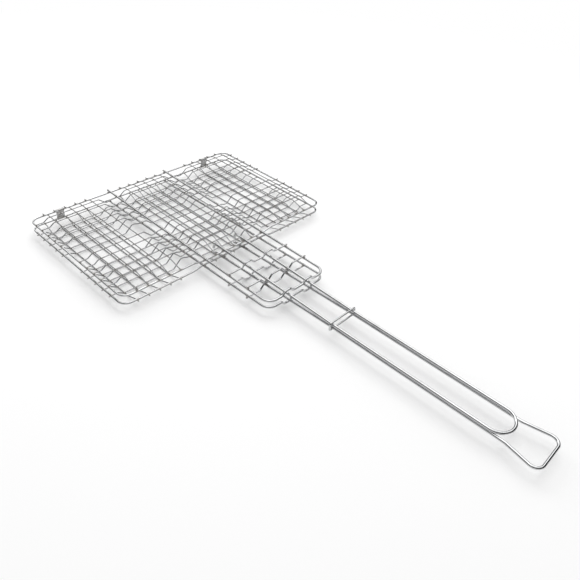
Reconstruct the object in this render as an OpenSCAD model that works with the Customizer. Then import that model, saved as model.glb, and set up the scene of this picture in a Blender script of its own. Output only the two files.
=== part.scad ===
/* [Basket] */
// Width of each half, between the centres of its side rails
basket_w = 400; // [360:5:460]
// Depth of each half, between the centres of its front and rear rails
basket_d = 256; // [240:2:300]
// Distance between the centres of the upper and the lower rails when shut
rail_gap = 14; // [13:0.5:20]
// Centre-line radius of the rails' corners
corner_r = 14; // [8:1:24]
// Height that the mesh bulges past the rails, wire centre to rail centre
bulge_h = 9.2; // [7:0.2:14]

/* [Wires] */
// Diameter of the rail wire
rail_d = 3.1; // [2.6:0.1:3.6]
// Diameter of the neck frame wire
neck_wire_d = 3.8; // [3.2:0.1:4.4]
// Diameter of the handle wire
handle_d = 4.2; // [3.6:0.1:4.8]
// Diameter of the crossbar wire
bar_d = 2.8; // [2.2:0.1:3]
// Diameter of the mesh wire
mesh_d = 1.6; // [1.2:0.1:2]

/* [Mesh] */
// Distance between neighbouring mesh wires of one group
mesh_pitch = 18.5; // [16:0.5:19]
// Wires in each group
group_count = 5; // [3:1:5]
// Distance from a side rail to the first long wire
side_inset = 23; // [22:1:26]
// Distance from the front rail to the first cross wire
front_inset = 32.5; // [30:0.5:34]
// Distance from the rear rail to the first cross wire
rear_inset = 22; // [20:0.5:26]
// Length that a mesh wire's cut end reaches past a rail's centre
mesh_tick = 2.4; // [2:0.2:4]

/* [Neck] */
// Distance between the centres of the two legs of the neck frame
neck_w = 116; // [108:1:124]
// Reach of the neck frame in front of the front rail
neck_l = 138; // [120:1:160]
// Centre-line radius of the neck frame's corners
neck_corner_r = 15; // [10:1:20]
// Distance of the front rail's lowered middle from the parting plane
neck_rail_h = 3.8; // [3.8:0.1:5]
// Distance from the front rail to the inner crossbar
inner_bar_y = 56; // [50:1:62]
// Distance from the front rail to the outer crossbar
outer_bar_y = 95; // [88:1:102]
// Rise of a hump in a bar that passes outside the handle
hump_h = 5.5; // [4:0.5:7]

/* [Handle] */
// Distance between the centres of the two wires of a handle
handle_w = 42.4; // [40:0.2:46]
// Distance from the front rail to the lock ring at rest
ring_y = 222; // [190:2:240]
// Distance from the front rail to the upper handle's round end, wire centre
upper_reach = 478; // [440:2:490]
// Distance from the front rail to the lower handle's end bar, wire centre
lower_reach = 524; // [516:2:560]
// Length of the lower handle's flared end, from its straight wires to the end bar
loop_l = 46; // [36:1:60]
// Distance between the centres of the end loop's corners
loop_w = 62; // [58:1:74]
// Centre-line radius of the end loop's corners
loop_corner_r = 11; // [7:1:13]
// Length of the handle wires inside the front rail
inner_reach = 23; // [20:1:26]

/* [Lock ring] */
// Diameter of the ring wire
ring_d = 2.8; // [2.4:0.1:3]
// Free space between the ring and the handles it slides on
ring_play = 0.3; // [0.3:0.05:0.6]
// Free space on each side between the ring and the handles
ring_side_play = 1.4; // [1.2:0.1:2]

/* [Hinge clips] */
// Width of a clip, along the rails
clip_w = 13; // [9:0.5:14]
// Thickness of the clip's sheet
clip_t = 0.8; // [0.6:0.1:1.2]

/* [Hidden] */
$fn = 24;
bend_fn = 96;

// Half of the free space between the two shut handles
handle_part = 0.15;
// Place of a hinge clip, counted in mesh pitches from the first long wire
clip_pitches = 1.5;
// Running clearance of the upper rear rail in the hinge clips, on the radius
hinge_play = 0.05;
// A bend's extra thickness, on the radius
bend_swell = 0.02;
// Length of a straight run's end inside a bend
run_seat = 0.2;
// Length that a leg of the neck frame reaches behind the rear rail
leg_tick = 4;
// Length that a crossbar reaches past the leg that carries it
bar_tick = 2.5;
// Centre-line radius of the small bends in mesh wires and crossbars
mesh_bend_r = 3.5;
// Centre-line radius of the long wires' rounded shoulders
shoulder_r = 9;
// Centre-line radius of the bends in rails, handles and humps
rail_bend_r = 8;
hump_bend_r = 4.6;
hook_bend_r = 5;
ring_bend_r = 3.2;
flare_bend_r = 30;
level_bend_r = 60;

// Heights above the parting plane, wire centres
rail_h = rail_gap / 2;
on_rail_h = rail_h + (rail_d + mesh_d) / 2;
on_neck_rail_h = neck_rail_h + (rail_d + mesh_d) / 2;
long_h = rail_h + bulge_h;
cross_h = long_h - mesh_d;
handle_rest_h = handle_d / 2 + handle_part;
handle_front_h = neck_rail_h + (rail_d + handle_d) / 2;
leg_front_h = neck_rail_h + (rail_d + neck_wire_d) / 2;
leg_rear_h = rail_h + (rail_d + neck_wire_d) / 2;
function leg_h(y) = leg_front_h + (leg_rear_h - leg_front_h) * y / basket_d;
function handle_h(y) = handle_front_h + (handle_front_h - handle_rest_h) * y / ring_y;

// The plane of the neck frame's legs, which rise to the rear rail
leg_tilt = atan((leg_rear_h - leg_front_h) / basket_d);
leg_l = (basket_d + leg_tick + neck_l) / cos(leg_tilt);

// The part's frame: origin below the middle of the overall length, on the ground
length_mid = (basket_d + leg_tick - lower_reach - handle_d / 2) / 2;
ground = long_h + mesh_d / 2;

// Places across the width
wire_x = handle_w / 2;
leg_x = neck_w / 2;
side_x = basket_w / 2;
outer_wire_x = side_x - side_inset;
inner_wire_x = outer_wire_x - (group_count - 1) * mesh_pitch;
middle_pitch = wire_x - (handle_d + mesh_d) / 2;

// The lowered middle of the front rail, past the neck frame's legs
neck_rail_margin = 5;
neck_rail_flat = leg_x + neck_rail_margin;
neck_rail_ramp = 16;

// The long wires' ramps behind the rails
ramp_start = 3;
rear_ramp = 15;
front_ramp = 22;

// The cross wires' flat ends, ramps and dips at the legs
end_flat = 12;
end_ramp = 8;
pocket_edge = 12;
ridge_ramp = 13;
ridge_flat = 5;
ridge_depth = 2.8;
leg_flat = 7;
leg_ramp = 10;

// Half widths of a hump at its foot and at its top
hump_foot = 11.5;
hump_top = 4.5;

// The upper handle's hooked ends and the lower handle's bent ends
hook_drop = 10;
hook_lean = 3;
end_lean = 11;
end_drop = 1.8;

// Half of the lower handle's end loop, which flares out from the handle's straight wires
end_loop = [[-wire_x, -ring_y], [-wire_x, loop_l - lower_reach], [-loop_w / 2, -lower_reach]];
flare_start = loop_l - lower_reach + cut(end_loop[0], end_loop[1], end_loop[2], flare_bend_r);

rail_color = [0.78, 0.79, 0.8];
wire_color = [0.7, 0.71, 0.73];
clip_color = [0.6, 0.61, 0.63];

function unit(v) = v / norm(v);
function heading(v) = atan2(v[1], v[0]);
function turn(a, b) = atan2(a[0] * b[1] - a[1] * b[0], a * b);
function cut(a, b, c, r) = r * tan(abs(turn(unit(b - a), unit(c - b))) / 2);
function mirrored(half) = concat(half, [for (i = [len(half) - 1:-1:0]) [-half[i][0], half[i][1]]]);

// A round bar of the given diameter from one point of the plane to another
module straight(from, to, d) {
    translate([from[0], from[1], 0])
        rotate([0, 90, heading(to - from)])
            cylinder(h = norm(to - from), d = d);
}

// A bend that leaves a bar running along the heading, turning left for a positive angle.
// It is a hair thicker than the runs, which end inside it
module bend(at, along, angle, r, d) {
    side = sign(angle);
    translate([at[0] - side * r * sin(along), at[1] + side * r * cos(along), 0])
        rotate([0, 0, side > 0 ? along - 90 : along + 90 + angle])
            rotate_extrude(angle = abs(angle), $fn = bend_fn)
                translate([r, 0]) circle(d = d + 2 * bend_swell);
}

// A wire bent in a plane: straight runs between the points, a round bend at each inner one.
// The first or the last run can be left to the piece that goes on from there
module bent_wire(points, d, radii, first_run = true, last_run = true) {
    end = len(points) - 1;
    runs = [for (i = [0:end - 1]) unit(points[i + 1] - points[i])];
    angles = [for (i = [0:end]) i == 0 || i == end ? 0 : turn(runs[i - 1], runs[i])];
    radius = [for (i = [0:end]) is_list(radii) ? radii[i] : radii];
    cuts = [for (i = [0:end]) i == 0 || i == end ? 0 : radius[i] * tan(abs(angles[i]) / 2) - run_seat];
    for (i = [(first_run ? 0 : 1):(last_run ? end - 1 : end - 2)])
        straight(points[i] + runs[i] * cuts[i], points[i + 1] - runs[i] * cuts[i + 1], d);
    for (i = [1:end - 1])
        bend(points[i] - runs[i - 1] * (cuts[i] + run_seat), heading(runs[i - 1]), angles[i], radius[i], d);
}

// Places a wire drawn as [across, up] in the upright plane at a distance from the front rail
module across(y) {
    translate([0, y, 0]) rotate([90, 0, 0]) children();
}

// Places a wire drawn as [along, up] in the upright plane at a distance from the middle
module along(x) {
    translate([x, 0, 0]) rotate([90, 0, 90]) children();
}

// Puts a half's pieces in the part's frame, upright or turned over
module upper() {
    translate([0, -length_mid, ground]) children();
}

module lower() {
    upper() mirror([0, 0, 1]) children();
}

// Rail: a rounded frame whose front run is lowered where the neck crosses it
module rim() {
    front = [
        [-side_x, rail_h],
        [-neck_rail_flat - neck_rail_ramp, rail_h],
        [-neck_rail_flat, neck_rail_h]
    ];
    bend_x = -front[1][0] + cut(front[0], front[1], front[2], rail_bend_r) - run_seat;
    color(rail_color) {
        translate([0, 0, rail_h])
            bent_wire([
                [-bend_x, 0], [-side_x, 0], [-side_x, basket_d],
                [side_x, basket_d], [side_x, 0], [bend_x, 0]
            ], rail_d, corner_r);
        across(0)
            bent_wire(mirrored(front), rail_d, rail_bend_r, first_run = false, last_run = false);
    }
}

// Places what is drawn as [across, along] in the tilted plane of a neck frame's legs
module neck_plane() {
    translate([0, -neck_l, leg_h(-neck_l)]) rotate([leg_tilt, 0, 0]) children();
}

// Neck frame: the rounded front of the neck, with a hump at each handle wire
module neck_frame() {
    end_h = leg_h(-neck_l);
    end_bar = [
        [-leg_x, end_h],
        [-wire_x - hump_foot, end_h],
        [-wire_x - hump_top, end_h + hump_h],
        [-wire_x + hump_top, end_h + hump_h],
        [-wire_x + hump_foot, end_h]
    ];
    bend_x = -end_bar[1][0] + cut(end_bar[0], end_bar[1], end_bar[2], hump_bend_r) - run_seat;
    color(wire_color) {
        neck_plane()
            for (side = [-1, 1])
                bent_wire([
                    [side * bend_x, 0], [side * leg_x, 0], [side * leg_x, leg_l]
                ], neck_wire_d, neck_corner_r, last_run = false);
        across(-neck_l)
            bent_wire(
                mirrored(end_bar), neck_wire_d, hump_bend_r, first_run = false, last_run = false
            );
    }
}

// Neck legs: they go on from the neck frame's corners and lie over both rails
module neck_legs() {
    color(wire_color)
        neck_plane()
            for (side = [-1, 1])
                straight([side * leg_x, neck_corner_r], [side * leg_x, leg_l], neck_wire_d);
}

// Inner crossbar: welded across the legs, humped over the handle wires
module crossbar_inner() {
    base = leg_h(-inner_bar_y) + (neck_wire_d + bar_d) / 2;
    color(wire_color)
        across(-inner_bar_y)
            bent_wire(mirrored([
                [-leg_x - bar_tick, base],
                [-wire_x - hump_foot, base],
                [-wire_x - hump_top, base + hump_h],
                [-wire_x + hump_top, base + hump_h],
                [-wire_x + hump_foot, base]
            ]), bar_d, mesh_bend_r);
}

// Outer crossbar: welded across the legs, dipped under the handle wires
module crossbar_outer() {
    base = leg_h(-outer_bar_y) + (neck_wire_d + bar_d) / 2;
    dip = handle_h(-outer_bar_y) - (handle_d + bar_d) / 2;
    color(wire_color)
        across(-outer_bar_y)
            bent_wire(mirrored([
                [-leg_x - bar_tick, base],
                [-wire_x - hump_foot, base],
                [-wire_x - hump_top, dip],
                [-wire_x + hump_top, dip],
                [-wire_x + hump_foot, base]
            ]), bar_d, mesh_bend_r);
}

// Wires that run from the front to the rear, laid over the rails and bulged between them
module long_wires(places, front_h) {
    color(wire_color)
        for (x = places)
            along(x)
                bent_wire([
                    [-mesh_tick, front_h],
                    [ramp_start, front_h],
                    [ramp_start + front_ramp, long_h],
                    [basket_d - ramp_start - rear_ramp, long_h],
                    [basket_d - ramp_start, on_rail_h],
                    [basket_d + mesh_tick, on_rail_h]
                ], mesh_d, [0, shoulder_r, shoulder_r, shoulder_r, shoulder_r, 0]);
}

module side_long_wires(side) {
    long_wires([for (i = [0:group_count - 1]) side * (outer_wire_x - i * mesh_pitch)], on_rail_h);
}

module middle_long_wires() {
    half_count = floor(group_count / 2);
    long_wires([for (i = [-half_count:half_count]) i * middle_pitch], on_neck_rail_h);
}

// Wires that run across, bulged in three pockets and dipped inside the neck frame's legs
module cross_wires(places) {
    color(wire_color)
        for (y = places) {
            dip = leg_h(y) - (neck_wire_d + mesh_d) / 2;
            ridge_x = inner_wire_x - pocket_edge - ridge_ramp;
            across(y)
                bent_wire(mirrored([
                    [-side_x - mesh_tick, on_rail_h],
                    [-side_x + end_flat, on_rail_h],
                    [-side_x + end_flat + end_ramp, cross_h],
                    [-inner_wire_x + pocket_edge, cross_h],
                    [-ridge_x, dip - ridge_depth],
                    [-ridge_x + ridge_flat, dip - ridge_depth],
                    [-leg_x - leg_flat, dip],
                    [-leg_x + leg_flat, dip],
                    [-leg_x + leg_flat + leg_ramp, cross_h]
                ]), mesh_d, mesh_bend_r);
        }
}

module cross_wires_front() {
    cross_wires([for (i = [0:group_count - 1]) front_inset + i * mesh_pitch]);
}

module cross_wires_rear() {
    cross_wires([for (i = [0:group_count - 1]) basket_d - rear_inset - i * mesh_pitch]);
}

// Upper handle: two long wires, hooked down inside the front rail
module upper_handle() {
    color(rail_color)
        for (side = [-1, 1])
            along(side * wire_x)
                bent_wire([
                    [-upper_reach + wire_x, handle_rest_h],
                    [-ring_y, handle_rest_h],
                    [inner_reach - hook_lean, handle_h(inner_reach - hook_lean)],
                    [inner_reach, handle_h(inner_reach) - hook_drop]
                ], handle_d, [0, level_bend_r, hook_bend_r, 0]);
}

// Upper handle's round end
module upper_handle_loop() {
    color(rail_color)
        translate([0, 0, handle_rest_h])
            bend([-wire_x, -upper_reach + wire_x], -90, 180, wire_x, handle_d);
}

// Lower handle: two long wires that run on past the upper one
module lower_handle() {
    color(rail_color)
        for (side = [-1, 1])
            along(side * wire_x)
                bent_wire([
                    [flare_start, handle_rest_h],
                    [-ring_y, handle_rest_h],
                    [inner_reach - end_lean, handle_h(inner_reach - end_lean)],
                    [inner_reach, handle_h(inner_reach) + end_drop]
                ], handle_d, [0, level_bend_r, flare_bend_r, 0]);
}

// Lower handle's end: a wider loop to hang it by
module lower_handle_loop() {
    color(rail_color)
        translate([0, 0, handle_rest_h])
            bent_wire(
                mirrored(end_loop), handle_d,
                [0, flare_bend_r, loop_corner_r, loop_corner_r, flare_bend_r, 0],
                first_run = false, last_run = false
            );
}

// Lock ring: a rectangular loop that holds both handles together
module lock_ring() {
    bar_h = handle_rest_h + (handle_d + ring_d) / 2 + ring_play;
    post_x = wire_x + handle_d / 2 + ring_side_play + ring_d / 2;
    color(rail_color)
        upper()
            across(-ring_y)
                bent_wire([
                    [0, bar_h], [-post_x, bar_h], [-post_x, -bar_h],
                    [post_x, -bar_h], [post_x, bar_h], [0, bar_h]
                ], ring_d, ring_bend_r);
}

// Hinge clip: a strip wrapped round both rear rails and pinched together between them
module hinge_clip(side) {
    eye_d = rail_d + 2 * hinge_play;
    color(clip_color)
        upper()
            along(side * (outer_wire_x - clip_pitches * mesh_pitch) - clip_w / 2)
                linear_extrude(clip_w)
                    difference() {
                        union() {
                            translate([basket_d, rail_h]) circle(d = eye_d + 2 * clip_t);
                            translate([basket_d, -rail_h]) circle(d = rail_d + 2 * clip_t);
                            translate([basket_d - clip_t, -rail_h]) square([2 * clip_t, rail_gap]);
                        }
                        translate([basket_d, rail_h]) circle(d = eye_d);
                        translate([basket_d, -rail_h]) circle(d = rail_d);
                    }
}

module bottom_rim() { lower() rim(); }
module bottom_neck_frame() { lower() neck_frame(); }
module bottom_neck_legs() { lower() neck_legs(); }
module bottom_handle() { lower() lower_handle(); }
module bottom_handle_loop() { lower() lower_handle_loop(); }
module bottom_crossbar_inner() { lower() crossbar_inner(); }
module bottom_crossbar_outer() { lower() crossbar_outer(); }
module bottom_long_wires_left() { lower() side_long_wires(-1); }
module bottom_long_wires_middle() { lower() middle_long_wires(); }
module bottom_long_wires_right() { lower() side_long_wires(1); }
module bottom_cross_wires_front() { lower() cross_wires_front(); }
module bottom_cross_wires_rear() { lower() cross_wires_rear(); }
module top_rim() { upper() rim(); }
module top_neck_frame() { upper() neck_frame(); }
module top_neck_legs() { upper() neck_legs(); }
module top_handle() { upper() upper_handle(); }
module top_handle_loop() { upper() upper_handle_loop(); }
module top_crossbar_inner() { upper() crossbar_inner(); }
module top_crossbar_outer() { upper() crossbar_outer(); }
module top_long_wires_left() { upper() side_long_wires(-1); }
module top_long_wires_middle() { upper() middle_long_wires(); }
module top_long_wires_right() { upper() side_long_wires(1); }
module top_cross_wires_front() { upper() cross_wires_front(); }
module top_cross_wires_rear() { upper() cross_wires_rear(); }
module hinge_clip_left() { hinge_clip(-1); }
module hinge_clip_right() { hinge_clip(1); }

bottom_rim();
bottom_neck_frame();
bottom_neck_legs();
bottom_handle();
bottom_handle_loop();
bottom_crossbar_inner();
bottom_crossbar_outer();
bottom_long_wires_left();
bottom_long_wires_middle();
bottom_long_wires_right();
bottom_cross_wires_front();
bottom_cross_wires_rear();
top_rim();
top_neck_frame();
top_neck_legs();
top_handle();
top_handle_loop();
top_crossbar_inner();
top_crossbar_outer();
top_long_wires_left();
top_long_wires_middle();
top_long_wires_right();
top_cross_wires_front();
top_cross_wires_rear();
lock_ring();
hinge_clip_left();
hinge_clip_right();
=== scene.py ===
"""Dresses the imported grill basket: swept chrome wire, weld beads, crimped hinge clips and a stage."""
import math

import bpy
from bpy.props import FloatProperty, FloatVectorProperty, IntProperty, PointerProperty
from mathutils import Matrix, Vector


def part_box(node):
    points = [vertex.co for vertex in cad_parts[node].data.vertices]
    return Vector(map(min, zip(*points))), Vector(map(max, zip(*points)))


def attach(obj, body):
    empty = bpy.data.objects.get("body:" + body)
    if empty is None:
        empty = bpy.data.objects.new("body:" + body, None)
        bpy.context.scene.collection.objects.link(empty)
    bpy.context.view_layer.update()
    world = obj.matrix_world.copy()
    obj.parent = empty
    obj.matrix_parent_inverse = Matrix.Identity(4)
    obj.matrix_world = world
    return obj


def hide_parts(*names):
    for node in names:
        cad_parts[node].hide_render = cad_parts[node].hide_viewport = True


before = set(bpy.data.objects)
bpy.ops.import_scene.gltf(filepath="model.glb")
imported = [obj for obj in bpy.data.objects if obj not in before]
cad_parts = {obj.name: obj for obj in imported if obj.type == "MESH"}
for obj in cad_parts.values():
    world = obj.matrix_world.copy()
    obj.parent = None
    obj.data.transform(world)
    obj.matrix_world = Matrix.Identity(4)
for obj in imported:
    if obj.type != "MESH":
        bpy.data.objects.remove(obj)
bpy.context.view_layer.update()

bl_info = {
    "name": "Campfire grill basket",
    "version": (1, 0, 0),
    "blender": (4, 5, 0),
    "location": "3D Viewport > Sidebar > Grill basket",
    "description": "Builds the wires, welds, hinge clips and stage of a hinged grill basket",
    "category": "Object",
}

HALVES = ("bottom", "top")

# Sides of a swept wire's section
SIDES = {"mesh": 12, "bar": 16, "ring": 16, "rim": 18, "neck": 18, "handle": 22}

# Reach of a weld bead: between mesh wires, where one meets a thick wire, at a crossbar, between two thick
# wires and at a handle's foot
BEADS = {"mesh": 0.00085, "edge": 0.0011, "bar": 0.0016, "thick": 0.0018, "handle": 0.002}

# Most that a piece's box may differ from its nodes' box
BOX_PLAY = 0.0006

# Steps round a bend, and what counts as no turn and no length
FINEST_TURN = math.radians(7.5)
LEAST_BEND = 4
NO_TURN = 1e-4
NO_LENGTH = 1e-6

# Distance between the points of a clip's outline
CLIP_STEP = 0.0006

# Chamfer of a cut end as a share of the wire, and the girth that is left there
CHAMFER_SHARE = 0.12
CUT_GIRTH = 0.76

# Shift between two wires' drawing lines, so that they differ
RUN_SHIFT = 1.37

# Turns above which an edge is sharp, on a cut end and on a clip
SHARP_CUT = 0.7
SHARP_FOLD = math.radians(50)

# The set: steps round a circle, the darker shade of its grain, plain white, and the camera's sensor and range
CIRCLE_STEPS = 96
GRAIN_SHADE = 0.99
WHITE = (1.0, 1.0, 1.0, 1.0)
SENSOR_WIDTH = 36.0
SIGHT_RANGE = (0.02, 60.0)


def number(name, description, default, **limits):
    """A number that a user may change."""
    return FloatProperty(name=name, description=description, default=default, **limits)


def size(name, description, default):
    """A length in metres that a user may change."""
    return number(name, description, default, min=0.0, precision=5, unit="LENGTH", subtype="DISTANCE")


def share(name, description, default, high=1.0):
    """A plain factor that a user may change."""
    return number(name, description, default, min=0.0, max=high)


def spot(name, description, default):
    """A place in metres that a user may change."""
    return FloatVectorProperty(name=name, description=description, default=default, unit="LENGTH")


def tone(name, description, default):
    """A colour that a user may change."""
    return FloatVectorProperty(
        name=name, description=description, default=default, min=0.0, max=1.0, subtype="COLOR",
    )


class BasketRails(bpy.types.PropertyGroup):
    width: size("Width", "Between the side rails' centres", 0.4)
    depth: size("Depth", "Between the front and rear rails' centres", 0.256)
    height: size("Height", "Rail centre above the parting plane", 0.007)
    wire: size("Wire", "Diameter of the rail wire", 0.0031)
    corner: size("Corner", "Centre-line radius of the corners", 0.014)
    dip_height: size("Dip height", "Lowered front rail above the parting plane", 0.0038)
    dip_half: size("Dip half width", "Half of the lowered middle's length", 0.063)
    dip_ramp: size("Dip ramp", "Slope at each end of the lowered middle", 0.016)
    dip_bend: size("Dip bend", "Radius of the bends beside the lowered middle", 0.008)


class BasketMesh(bpy.types.PropertyGroup):
    wire: size("Wire", "Diameter of the mesh wire", 0.0016)
    bulge: size("Bulge", "Long wire centre above the rail centre", 0.0092)
    pitch: size("Pitch", "Between neighbouring wires of a group", 0.0185)
    count: IntProperty(name="Wires in a group", description="Wires in each group", default=5, min=1)
    side_inset: size("Side inset", "From a side rail to the first long wire", 0.023)
    front_inset: size("Front inset", "From the front rail to the first cross wire", 0.0325)
    rear_inset: size("Rear inset", "From the rear rail to the first cross wire", 0.022)
    tick: size("Cut end", "Reach of a wire past a rail", 0.0024)
    bend: size("Small bend", "Radius of a cross wire's bends", 0.0035)
    shoulder: size("Shoulder", "Radius of the long wires' shoulders", 0.009)
    ramp_start: size("Ramp start", "From a rail to a long wire's slope", 0.003)
    front_ramp: size("Front ramp", "Length of a long wire's front slope", 0.022)
    rear_ramp: size("Rear ramp", "Length of a long wire's rear slope", 0.015)
    end_flat: size("End flat", "Level end of a cross wire", 0.012)
    end_ramp: size("End ramp", "Slope after the level end", 0.008)
    pocket_edge: size("Pocket edge", "From the last side wire to the pocket's end", 0.012)
    ridge_ramp: size("Ridge ramp", "Slope from the pocket to the ridge", 0.013)
    ridge_flat: size("Ridge flat", "Level bottom beside a leg", 0.005)
    ridge_depth: size("Ridge depth", "Ridge below the dip at the leg", 0.0028)
    leg_flat: size("Leg flat", "Half of the level dip at a leg", 0.007)
    leg_ramp: size("Leg ramp", "Slope from the dip to the middle pocket", 0.01)


class BasketNeck(bpy.types.PropertyGroup):
    width: size("Width", "Between the legs' centres", 0.116)
    reach: size("Reach", "From the front rail to the end bar", 0.138)
    wire: size("Wire", "Diameter of the neck wire", 0.0038)
    corner: size("Corner", "Centre-line radius of the corners", 0.015)
    tick: size("Cut end", "Reach of a leg past the rear rail", 0.004)
    bar_wire: size("Crossbar wire", "Diameter of the crossbars", 0.0028)
    bar_tick: size("Crossbar end", "Reach of a crossbar past a leg", 0.0025)
    inner_bar: size("Inner crossbar", "From the front rail to the inner crossbar", 0.056)
    outer_bar: size("Outer crossbar", "From the front rail to the outer crossbar", 0.095)
    hump: size("Hump", "Rise of a hump over a handle wire", 0.0055)
    hump_foot: size("Hump foot", "Half width of a hump at its foot", 0.0115)
    hump_top: size("Hump top", "Half width of a hump at its top", 0.0045)
    hump_bend: size("Hump bend", "Radius of a hump's bends in the end bar", 0.0046)


class BasketHandles(bpy.types.PropertyGroup):
    spread: size("Spread", "Between the two wires of a handle", 0.0424)
    wire: size("Wire", "Diameter of the handle wire", 0.0042)
    part: size("Parting", "Half of the gap between the shut handles", 0.00015)
    upper_reach: size("Upper reach", "From the front rail to the upper handle's round end", 0.478)
    lower_reach: size("Lower reach", "From the front rail to the lower handle's end bar", 0.524)
    loop_width: size("Loop width", "Between the corners of the end loop", 0.062)
    loop_corner: size("Loop corner", "Radius of the end loop's corners", 0.011)
    inner_reach: size("Inner reach", "Length of the wires inside the front rail", 0.023)
    hook_drop: size("Hook drop", "Fall of the upper handle's hooked ends", 0.01)
    hook_lean: size("Hook lean", "Lean of the hooked ends", 0.003)
    hook_bend: size("Hook bend", "Radius of the hooks", 0.005)
    end_lean: size("End lean", "Length of the lower handle's bent ends", 0.011)
    end_drop: size("End drop", "Rise of the lower handle's bent ends", 0.0018)
    flare_bend: size("Flare bend", "Radius where the end loop flares out", 0.03)
    level_bend: size("Level bend", "Radius where the handles turn level", 0.06)


class BasketRing(bpy.types.PropertyGroup):
    place: size("Place", "From the front rail to the lock ring", 0.222)
    wire: size("Wire", "Diameter of the ring wire", 0.0028)
    play: size("Play", "Free space above and below the handles", 0.0003)
    side_play: size("Side play", "Free space on each side of the handles", 0.0014)
    bend: size("Bend", "Radius of the ring's corners", 0.0032)


class BasketClips(bpy.types.PropertyGroup):
    width: size("Width", "Width of a clip along the rails", 0.013)
    sheet: size("Sheet", "Thickness of the strip", 0.0008)
    play: size("Play", "Running clearance of the upper rail", 0.00005)
    pitches: share("Pitches", "Place of a clip, in mesh pitches from the first long wire", 1.5, 4.0)
    pinch_bend: size("Pinch bend", "Radius where the strip is pinched together", 0.0007)
    wrap_bend: size("Wrap bend", "Radius where the strip starts round a rail", 0.0009)
    edge: size("Edge", "Rounding of the strip's edges", 0.00013)


class BasketFinish(bpy.types.PropertyGroup):
    chrome: tone("Chrome", "Colour of the plated thick wire", (0.58, 0.585, 0.59))
    # The mesh wire is the same plated chrome as the thick wire; its darker colour here is painted shade
    shaded_mesh_chrome: tone("Mesh chrome", "Colour of the plated mesh wire", (0.34, 0.344, 0.35))
    chrome_gloss: share("Chrome roughness", "Roughness of the plated wire", 0.11)
    mesh_gloss: share("Mesh roughness", "Roughness of the thin mesh wire", 0.16)
    cloud: tone("Cloud", "Colour of the thin, duller plating", (0.42, 0.425, 0.43))
    heat: tone("Heat", "Tint of the plating round a weld", (0.3, 0.275, 0.245))
    weld: tone("Weld", "Colour of the weld beads", (0.36, 0.355, 0.35))
    sheet: tone("Clip sheet", "Colour of the hinge clips", (0.5, 0.5, 0.495))
    heat_reach: size("Heat reach", "Distance from a weld that shows its heat", 0.0036)
    bead_flatness: share("Bead flatness", "Height of a weld bead, as a share of its reach", 0.46)
    bead_lump: size("Bead lumps", "Most that a bead's surface rises and falls", 0.0003)
    wobble: size("Wobble", "Most that a mesh wire strays from its line", 0.00035)
    stiff_wobble: size("Stiff wobble", "Most that a thick wire strays from its line", 0.00012)
    step: size("Step", "Distance between the rings of a sweep", 0.0045)
    seed: number("Seed", "Seed of the wires' irregularities", 3.7)


class BasketStage(bpy.types.PropertyGroup):
    floor: tone("Floor", "Colour of the floor", (0.955, 0.955, 0.955))
    floor_radius: size("Floor radius", "Radius of the floor", 14.0)
    floor_drop: size("Floor drop", "Floor below the lowest wire", 0.0005)
    fade_start: size("Fade start", "Distance at which the floor starts to fade", 0.7)
    fade_end: size("Fade end", "Distance from which the floor is plain white", 1.7)
    flag: tone("Flag", "Colour of the cloth that only the metal sees", (0.02, 0.02, 0.022))
    flag_radius: size("Flag radius", "Distance of the dark cloth", 2.6)
    flag_low: size("Flag foot", "Lower edge of the dark cloth", 0.02)
    flag_high: size("Flag head", "Upper edge of the dark cloth", 2.8)
    sky: share("Room light", "Light that the pale room gives to the floor", 0.66, 2.0)
    key_power: number("Key power", "Power of the soft box behind", 26.0, unit="POWER")
    key_place: spot("Key place", "Place of the soft box behind", (1.3, 0.6, 2.0))
    key_size: size("Key size", "Side of the soft box behind", 2.2)
    rear_power: number("Rear power", "Power of the low box past the hinge", 9.5, unit="POWER")
    rear_place: spot("Rear place", "Place of the low box past the hinge", (0.3, 1.8, 1.2))
    rear_size: size("Rear size", "Side of the low box past the hinge", 1.2)
    fill_power: number("Fill power", "Power of the overhead soft box", 4.0, unit="POWER")
    fill_place: spot("Fill place", "Place of the overhead soft box", (-0.4, -0.1, 2.4))
    fill_size: size("Fill size", "Side of the overhead soft box", 0.9)
    lens: number("Lens", "Focal length in millimetres", 36.44)
    eye: spot("Eye", "Place of the camera", (-0.50659, -0.43236, 0.53886))
    azimuth: number("Azimuth", "Heading of the view from +Y", math.radians(48.89), unit="ROTATION")
    elevation: number("Elevation", "Downward tilt of the view", math.radians(38.3), unit="ROTATION")
    roll: number("Roll", "Roll of the camera", math.radians(4.9), unit="ROTATION")


GROUPS = {
    "basket_rails": BasketRails,
    "basket_mesh": BasketMesh,
    "basket_neck": BasketNeck,
    "basket_handles": BasketHandles,
    "basket_ring": BasketRing,
    "basket_clips": BasketClips,
    "basket_finish": BasketFinish,
    "basket_stage": BasketStage,
}


# Node trees

class Socket:
    """An output of a node. Arithmetic with numbers or other outputs adds Math nodes."""

    def __init__(self, board, socket):
        self.board = board
        self.socket = socket

    def math(self, operation, first, second):
        return self.board.add("ShaderNodeMath", {"operation": operation}, {0: first, 1: second})[0]

    def __add__(self, other):
        return self.math("ADD", self, other)

    def __radd__(self, other):
        return self.math("ADD", other, self)

    def __sub__(self, other):
        return self.math("SUBTRACT", self, other)

    def __rsub__(self, other):
        return self.math("SUBTRACT", other, self)

    def __mul__(self, other):
        return self.math("MULTIPLY", self, other)

    def __rmul__(self, other):
        return self.math("MULTIPLY", other, self)

    def __truediv__(self, other):
        return self.math("DIVIDE", self, other)

    def __rtruediv__(self, other):
        return self.math("DIVIDE", other, self)


class Made:
    """A node just made, whose outputs are found by number or name."""

    def __init__(self, board, node):
        self.board = board
        self.node = node

    def __getitem__(self, key):
        return Socket(self.board, find(self.node.outputs, key))


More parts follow.
